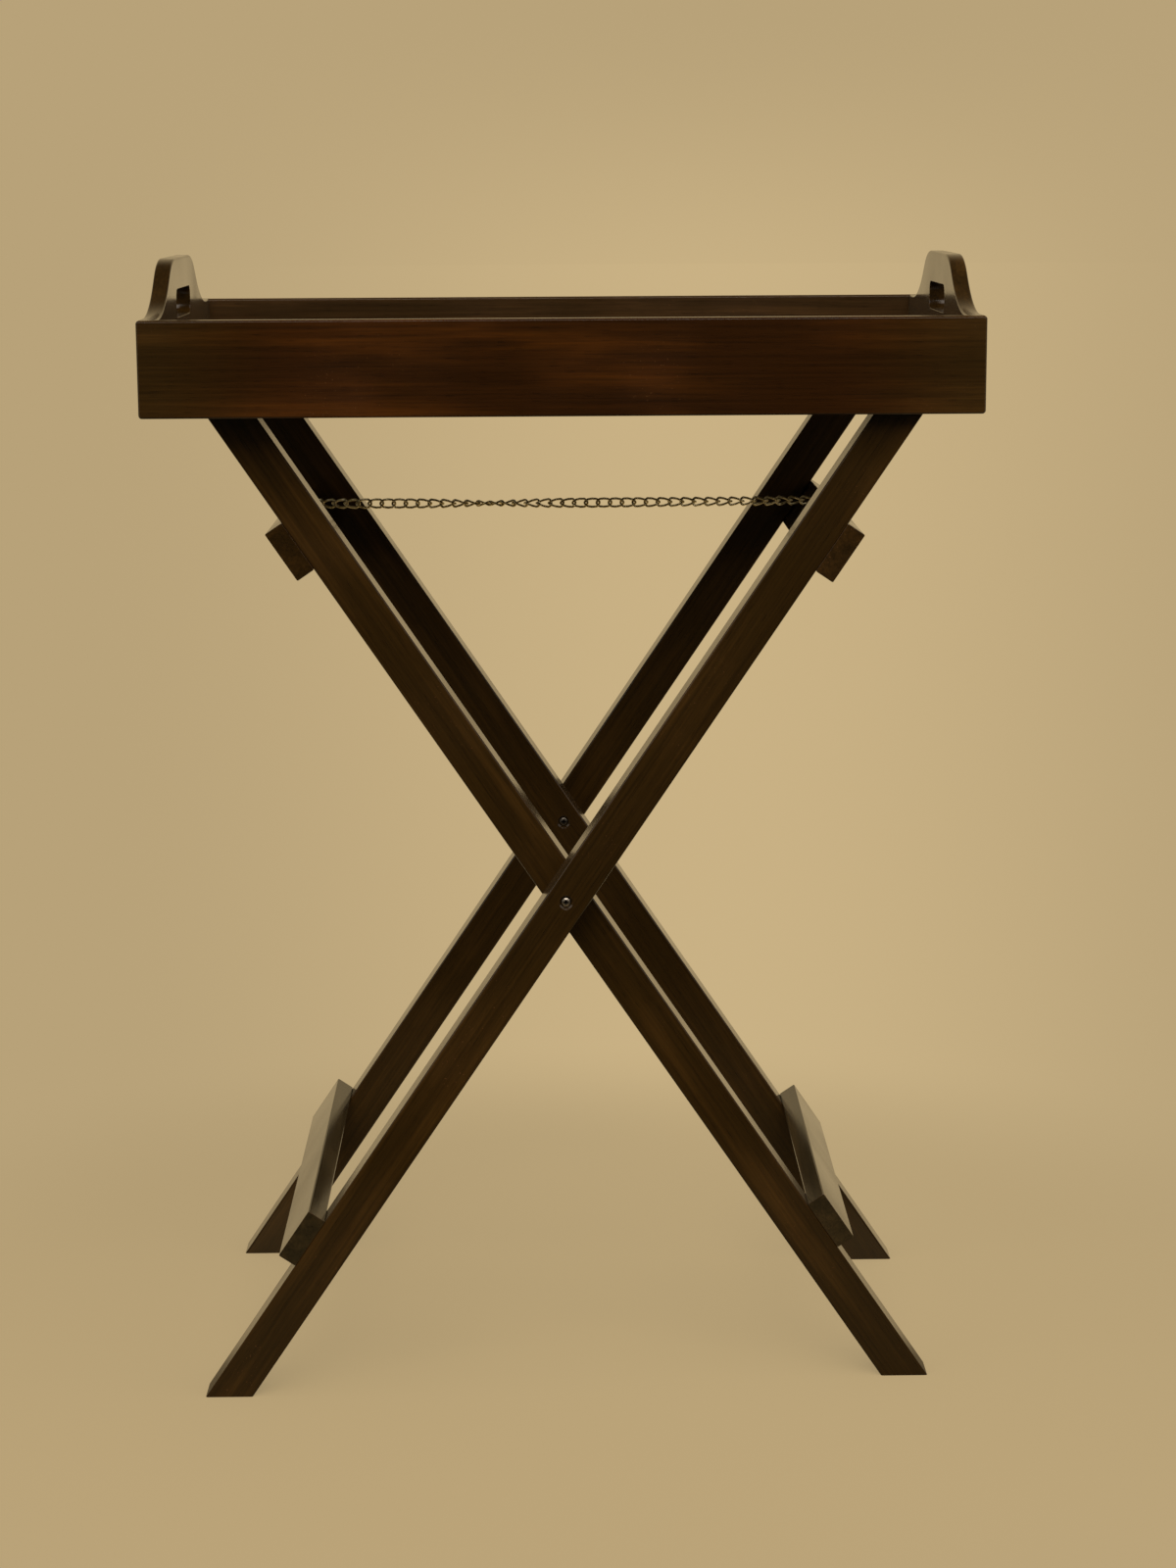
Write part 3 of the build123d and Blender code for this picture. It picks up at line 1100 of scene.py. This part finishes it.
def model_screw_eye(finish):
    """One screw eye with its ring round the origin and its shank pointing down."""
    deselect_all()
    bpy.ops.mesh.primitive_torus_add(
        major_radius=finish.eye_radius,
        minor_radius=finish.eye_wire / 2,
        major_segments=EYE_SEGMENTS,
        minor_segments=EYE_WIRE_SIDES,
        rotation=(radians(90), 0, 0),
    )
    eye = start_piece("screw_eye")
    bpy.ops.object.transform_apply(location=False, rotation=True, scale=False)
    deselect_all()
    bpy.ops.mesh.primitive_circle_add(
        vertices=EYE_WIRE_SIDES,
        radius=finish.eye_wire / 2,
        fill_type="NGON",
        location=(0, 0, -finish.eye_shank),
    )
    shank = start_piece("screw_eye_shank")
    bpy.ops.object.transform_apply(location=True, rotation=False, scale=False)
    bpy.ops.object.mode_set(mode="EDIT")
    bpy.ops.mesh.select_all(action="SELECT")
    bpy.ops.mesh.extrude_region_move(
        TRANSFORM_OT_translate={"value": (0, 0, finish.eye_shank - finish.eye_radius)}
    )
    bpy.ops.mesh.select_all(action="SELECT")
    bpy.ops.mesh.normals_make_consistent(inside=False)
    bpy.ops.object.mode_set(mode="OBJECT")
    combine(eye, shank, "UNION")
    bpy.ops.object.shade_smooth_by_angle(angle=radians(40))
    return eye


class TRAYTABLE_OT_screw_eyes(bpy.types.Operator):
    """Turn the screw eyes that hold the chain"""

    bl_idname = "traytable.screw_eyes"
    bl_label = "Turn screw eyes"

    def execute(self, context):
        eye = model_screw_eye(context.scene.tray_table_chain)
        eye.data.materials.append(bpy.data.materials["aged_brass"])
        for side, half, body in ((-1, "left", "inner_frame"), (1, "right", "outer_frame")):
            place = Matrix.Translation((side * EYE_RIGHT.x, EYE_RIGHT.y, EYE_RIGHT.z))
            lean = Matrix.Rotation(-side * (radians(90) - LEG_LEAN), 4, "Y")
            piece = copy_piece(eye, f"screw_eye_{half}", place @ lean)
            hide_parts(f"chain_eye_{half}")
            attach(piece, body)
        bpy.data.objects.remove(eye)
        return {"FINISHED"}


def model_recess_punch(finish):
    """Cross-shaped punch that narrows towards its tip, for the recess in a screw head."""
    bars = []
    for turn in (0, radians(90)):
        deselect_all()
        bpy.ops.mesh.primitive_cube_add(size=1.0)
        bar = start_piece("recess_bar")
        bar.dimensions = (finish.recess_length, finish.recess_width, 2 * finish.recess_depth)
        bar.rotation_euler.z = turn
        bpy.ops.object.transform_apply(location=False, rotation=True, scale=True)
        pick_vertices(bar, lambda place: place.z < 0)
        bpy.ops.transform.resize(value=(RECESS_TIP, RECESS_TIP, 1.0))
        bpy.ops.object.mode_set(mode="OBJECT")
        bars.append(bar)
    across, along = bars
    combine(along, across, "UNION")
    return along


def model_screw(finish):
    """Countersunk screw with its head at the origin, pointing down: a slightly crowned head on a
    45 degree cone and a plain shank, with a cross recess."""
    cone = finish.head_radius - finish.shank_radius
    narrowing = finish.shank_radius / finish.head_radius
    deselect_all()
    bpy.ops.mesh.primitive_circle_add(
        vertices=HEAD_SIDES,
        radius=finish.head_radius,
        fill_type="NGON",
    )
    screw = start_piece("pivot_screw")
    bpy.ops.object.mode_set(mode="EDIT")
    bpy.ops.mesh.select_all(action="SELECT")
    bpy.ops.mesh.extrude_region_move(TRANSFORM_OT_translate={"value": (0, 0, -cone)})
    bpy.ops.transform.resize(value=(narrowing, narrowing, 1.0), center_override=(0, 0, 0))
    bpy.ops.mesh.extrude_region_move(TRANSFORM_OT_translate={"value": (0, 0, cone - finish.length)})
    bpy.ops.mesh.select_all(action="SELECT")
    bpy.ops.mesh.normals_make_consistent(inside=False)
    pick_vertices(screw, lambda place: place.z > -finish.crown / 10)
    bpy.ops.mesh.select_mode(type="FACE")
    for inset, rise in CROWN_STEPS:
        bpy.ops.mesh.inset(thickness=finish.head_radius * inset)
        bpy.ops.transform.translate(value=(0, 0, finish.crown * rise))
    bpy.ops.object.mode_set(mode="OBJECT")
    combine(screw, model_recess_punch(finish), "DIFFERENCE")
    bpy.ops.object.shade_smooth_by_angle(angle=radians(35))
    return screw


class TRAYTABLE_OT_screws(bpy.types.Operator):
    """Turn the pivot screws and black them, with their washers"""

    bl_idname = "traytable.screws"
    bl_label = "Finish screws"

    def execute(self, context):
        finish = context.scene.tray_table_screws
        screw = model_screw(finish)
        screws = (
            ("front", "inner_frame", finish.front_wear),
            ("rear", "outer_frame", finish.rear_wear),
        )
        for end, body, wear in screws:
            steel = screw_steel(f"blackened_steel_{end}", wear, finish)
            low, _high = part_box(f"pivot_screw_{end}")
            place = Matrix.Translation((PIVOT.x, low[1], PIVOT.z))
            to_front = Matrix.Rotation(radians(90), 4, "X")
            piece = copy_piece(screw, f"pivot_screw_{end}_turned", place @ to_front)
            piece.data.materials.append(steel)
            dress((f"pivot_washer_{end}",), steel)
            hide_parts(f"pivot_screw_{end}")
            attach(piece, body)
        bpy.data.objects.remove(screw)
        return {"FINISHED"}


def seen_share(tree, way, turn):
    """Socket for how much of the paper's glow a ray sees.

    The camera sees all of it. A reflection shows it in full behind the table, but little of it in
    front and overhead, where the room is dim. It changes between two values of the direction's Y.
    Other rays see none, since the room gives the light.
    """
    path = add_node(tree, "ShaderNodeLightPath").outputs
    back = add_node(tree, "ShaderNodeSeparateXYZ", {"Vector": way}).outputs["Y"]
    behind = add_node(
        tree,
        "ShaderNodeMapRange",
        {
            "Value": back,
            "From Min": turn[0],
            "From Max": turn[1],
            "To Min": FRONT_GLOW,
            "To Max": BACK_GLOW,
        },
        interpolation_type="SMOOTHSTEP",
    ).outputs["Result"]
    mirrored = add_node(
        tree,
        "ShaderNodeMath",
        {0: path["Is Glossy Ray"], 1: path["Is Transmission Ray"]},
        operation="MAXIMUM",
    ).outputs[0]
    mirrored = add_node(
        tree,
        "ShaderNodeMath",
        {0: mirrored, 1: behind},
        operation="MULTIPLY",
    ).outputs[0]
    return add_node(
        tree,
        "ShaderNodeMath",
        {0: path["Is Camera Ray"], 1: mirrored},
        operation="MAXIMUM",
    ).outputs[0]


def pool_of_light(tree, way):
    """Socket for the wash of light on the paper behind the table: a soft upright band, a little to
    the right, by the direction from in front."""
    parts = add_node(tree, "ShaderNodeSeparateXYZ", {"Vector": way}).outputs
    aside = add_node(
        tree,
        "ShaderNodeMath",
        {0: parts["X"], 1: parts["Y"]},
        operation="DIVIDE",
    ).outputs[0]
    off = add_node(tree, "ShaderNodeMath", {0: aside, 1: -WASH_MIDDLE}, operation="ADD").outputs[0]
    off = add_node(tree, "ShaderNodeMath", {0: off}, operation="ABSOLUTE").outputs[0]
    wash = add_node(
        tree,
        "ShaderNodeMapRange",
        {"Value": off, "From Min": WASH_HALF_WIDTH, "From Max": 0.0},
        interpolation_type="SMOOTHSTEP",
    ).outputs["Result"]
    ahead = add_node(
        tree,
        "ShaderNodeMath",
        {0: parts["Y"], 1: 0.0},
        operation="GREATER_THAN",
    ).outputs[0]
    return add_node(tree, "ShaderNodeMath", {0: wash, 1: ahead}, operation="MULTIPLY").outputs[0]


def backdrop_paper(stage):
    """Matt background paper: plain and even, fading into the background away from the table, with
    a wash of light where it rises behind."""
    material, tree, output = new_material("backdrop_paper")
    place = add_node(tree, "ShaderNodeTexCoord").outputs["Object"]
    far = add_node(tree, "ShaderNodeVectorMath", {0: place}, operation="LENGTH").outputs["Value"]
    way = add_node(tree, "ShaderNodeVectorMath", {0: place}, operation="NORMALIZE").outputs["Vector"]
    fade = add_node(
        tree,
        "ShaderNodeMapRange",
        {"Value": far, "From Min": FLOOR_FADE[0], "From Max": FLOOR_FADE[1], "To Min": FADED_UNDER},
        interpolation_type="SMOOTHSTEP",
    ).outputs["Result"]
    fan = add_node(
        tree,
        "ShaderNodeVectorMath",
        {0: place, 1: stage.wash_place},
        operation="SUBTRACT",
    ).outputs["Vector"]
    back = add_node(tree, "ShaderNodeSeparateXYZ", {"Vector": place}).outputs["Y"]
    rise = add_node(
        tree,
        "ShaderNodeMapRange",
        {"Value": back, "From Min": WASH_RISE[0], "From Max": WASH_RISE[1], "To Max": WASH_STRENGTH},
    ).outputs["Result"]
    pool = add_node(
        tree,
        "ShaderNodeMath",
        {0: pool_of_light(tree, fan), 1: rise, 2: 1.0},
        operation="MULTIPLY_ADD",
    ).outputs[0]
    seen = seen_share(tree, way, FLOOR_TURN)
    strength = add_node(tree, "ShaderNodeMath", {0: seen, 1: pool}, operation="MULTIPLY").outputs[0]
    paper = add_node(tree, "ShaderNodeBsdfDiffuse", {"Color": (*stage.paper, 1.0)})
    glow = add_node(tree, "ShaderNodeEmission", {"Color": (*stage.paper, 1.0), "Strength": strength})
    mixed = add_node(
        tree,
        "ShaderNodeMixShader",
        {0: fade, 1: paper.outputs["BSDF"], 2: glow.outputs["Emission"]},
    )
    tree.links.new(mixed.outputs["Shader"], output.inputs["Surface"])
    return material


def studio_world(stage):
    """The paper's colour for the camera and for reflections, and an even white room for the light."""
    world = bpy.data.worlds.new("studio")
    world.use_nodes = True
    tree = world.node_tree
    tree.nodes.clear()
    way = add_node(tree, "ShaderNodeTexCoord").outputs["Generated"]
    lit = add_node(tree, "ShaderNodeLightPath").outputs["Is Diffuse Ray"]
    # The wash fades out just above the horizon.
    height = add_node(tree, "ShaderNodeSeparateXYZ", {"Vector": way}).outputs["Z"]
    fall = add_node(
        tree,
        "ShaderNodeMapRange",
        {
            "Value": height,
            "From Min": -WASH_FALL,
            "From Max": WASH_FALL,
            "To Min": WASH_STRENGTH,
            "To Max": 0.0,
        },
        interpolation_type="SMOOTHSTEP",
    ).outputs["Result"]
    pool = add_node(
        tree,
        "ShaderNodeMath",
        {0: pool_of_light(tree, way), 1: fall, 2: 1.0},
        operation="MULTIPLY_ADD",
    ).outputs[0]
    strength = add_node(
        tree,
        "ShaderNodeMath",
        {0: seen_share(tree, way, BACKGROUND_TURN), 1: pool},
        operation="MULTIPLY",
    ).outputs[0]
    seen = add_node(tree, "ShaderNodeBackground", {"Color": (*stage.paper, 1.0), "Strength": strength})
    room = add_node(
        tree,
        "ShaderNodeBackground",
        {"Color": (1.0, 1.0, 1.0, 1.0), "Strength": stage.room_light},
    )
    mixed = add_node(
        tree,
        "ShaderNodeMixShader",
        {0: lit, 1: seen.outputs["Background"], 2: room.outputs["Background"]},
    )
    output = add_node(tree, "ShaderNodeOutputWorld")
    tree.links.new(mixed.outputs["Shader"], output.inputs["Surface"])
    return world


class TRAYTABLE_OT_stage(bpy.types.Operator):
    """Lay the floor, hang the soft boxes and stand the camera"""

    bl_idname = "traytable.stage"
    bl_label = "Set stage"

    def execute(self, context):
        scene = context.scene
        stage = scene.tray_table_stage
        deselect_all()
        bpy.ops.mesh.primitive_circle_add(
            vertices=FLOOR_SIDES,
            radius=FLOOR_RADIUS,
            fill_type="TRIFAN",
        )
        floor = start_piece("floor")
        floor.data.materials.append(backdrop_paper(stage))
        scene.world = studio_world(stage)
        lamps = (
            ("soft_box_front", FRONT_BOX, stage.front_lamp),
            ("soft_box_left", LEFT_BOX, stage.side_lamp),
            ("soft_box_right", RIGHT_BOX, stage.side_lamp),
        )
        for name, place, power in lamps:
            aim = (SOFT_BOX_AIM - Vector(place)).to_track_quat("-Z", "Y").to_euler()
            bpy.ops.object.light_add(type="AREA", location=place, rotation=aim)
            lamp = bpy.context.active_object
            lamp.name = name
            lamp.data.energy = power
            lamp.data.color = stage.lamp_colour
            lamp.data.size = SOFT_BOX_SIZE
        tilt, turn, roll = stage.camera_turn
        bpy.ops.object.camera_add()
        camera = bpy.context.active_object
        camera.matrix_world = (
            Matrix.Translation(stage.camera_place)
            @ Matrix.Rotation(-turn, 4, "Z")
            @ Matrix.Rotation(radians(90) - tilt, 4, "X")
            @ Matrix.Rotation(-roll, 4, "Z")
        )
        camera.data.lens = stage.camera_lens
        camera.data.sensor_width = SENSOR
        scene.camera = camera
        scene.view_settings.view_transform = "Standard"
        return {"FINISHED"}


class TRAYTABLE_PT_panel(bpy.types.Panel):
    """Steps that finish the table, in order"""

    bl_label = "Tray Table"
    bl_idname = "TRAYTABLE_PT_panel"
    bl_space_type = "VIEW_3D"
    bl_region_type = "UI"
    bl_category = "Tray Table"

    def draw(self, context):
        for step in STEPS:
            self.layout.operator(step.bl_idname)


STEPS = (
    TRAYTABLE_OT_stage,
    TRAYTABLE_OT_boards,
    TRAYTABLE_OT_chain,
    TRAYTABLE_OT_screw_eyes,
    TRAYTABLE_OT_screws,
)
CLASSES = (WoodFinish, ChainFinish, ScrewFinish, StageSet, *STEPS, TRAYTABLE_PT_panel)


def register():
    """Register the classes and hang their settings on the scene."""
    for made in CLASSES:
        bpy.utils.register_class(made)
    bpy.types.Scene.tray_table_wood = PointerProperty(type=WoodFinish)
    bpy.types.Scene.tray_table_chain = PointerProperty(type=ChainFinish)
    bpy.types.Scene.tray_table_screws = PointerProperty(type=ScrewFinish)
    bpy.types.Scene.tray_table_stage = PointerProperty(type=StageSet)


def unregister():
    """Take the settings and classes off again."""
    del bpy.types.Scene.tray_table_stage
    del bpy.types.Scene.tray_table_screws
    del bpy.types.Scene.tray_table_chain
    del bpy.types.Scene.tray_table_wood
    for made in reversed(CLASSES):
        bpy.utils.unregister_class(made)


def main():
    """Finish the table step by step."""
    register()
    bpy.ops.traytable.stage()
    bpy.ops.traytable.boards()
    bpy.ops.traytable.chain()
    bpy.ops.traytable.screw_eyes()
    bpy.ops.traytable.screws()


if __name__ == "__main__":
    main()
